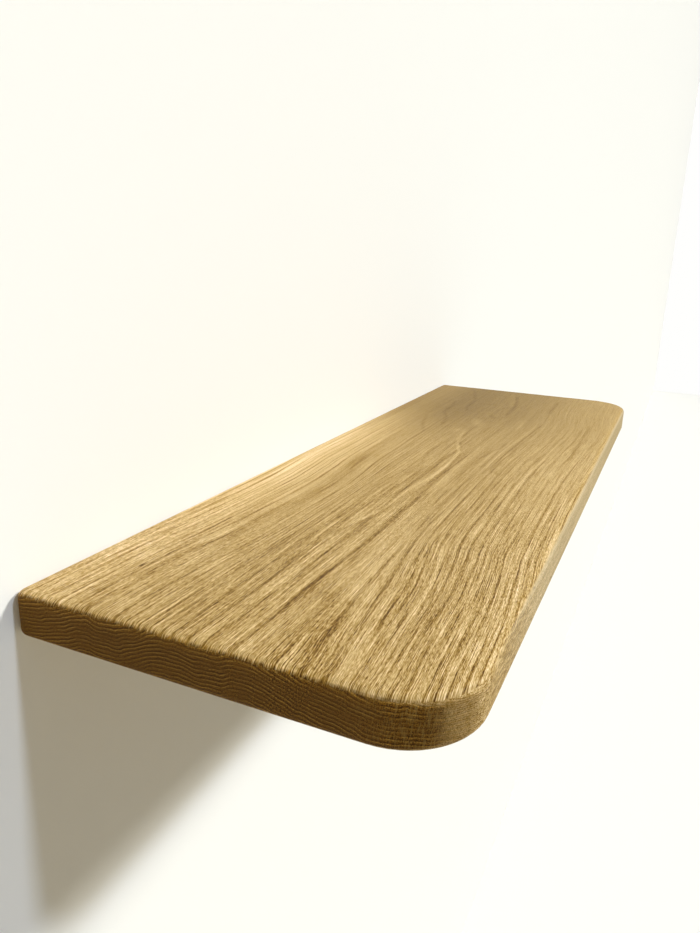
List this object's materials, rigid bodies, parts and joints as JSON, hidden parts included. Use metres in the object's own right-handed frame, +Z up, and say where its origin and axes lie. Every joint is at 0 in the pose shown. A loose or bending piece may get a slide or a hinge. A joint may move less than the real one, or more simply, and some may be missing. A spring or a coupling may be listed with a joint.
{
  "type": "floating wall shelf",
  "caption": "Solid wood wall shelf with rounded front corners and eased edges, which slides on to concealed steel rod supports screwed to the wall.",
  "frame": {"origin": "on the wall's surface, in the middle of the shelf's back edge, halfway between the wall plugs", "axes": "+X along the wall to the right as seen from the room, +Y into the wall, +Z up; the front edge faces -Y"},
  "size_m": [0.6, 0.246, 0.022],
  "materials": {
    "oak": "oiled satin, open grain along X",
    "plate_steel": "zinc plated",
    "rod_steel": "drawn bright steel",
    "screw_steel": "yellow passivated zinc",
    "plug_nylon": "plain grey nylon"
  },
  "bodies": {
    "wall_supports": {"support_plate_left": "plate_steel", "support_plate_right": "plate_steel", "support_rod_left": "rod_steel", "support_rod_right": "rod_steel", "wall_screw_left_outer": "screw_steel", "wall_screw_left_inner": "screw_steel", "wall_screw_right_inner": "screw_steel", "wall_screw_right_outer": "screw_steel", "wall_plug_left_outer": "plug_nylon", "wall_plug_left_inner": "plug_nylon", "wall_plug_right_inner": "plug_nylon", "wall_plug_right_outer": "plug_nylon"},
    "board": {"shelf_board": "oak"}
  },
  "joints": [
    {"name": "board_slide", "type": "slide", "parent": "wall_supports", "child": "board", "axis": [0, -1, 0], "range_m": [0, 0.12]}
  ]
}
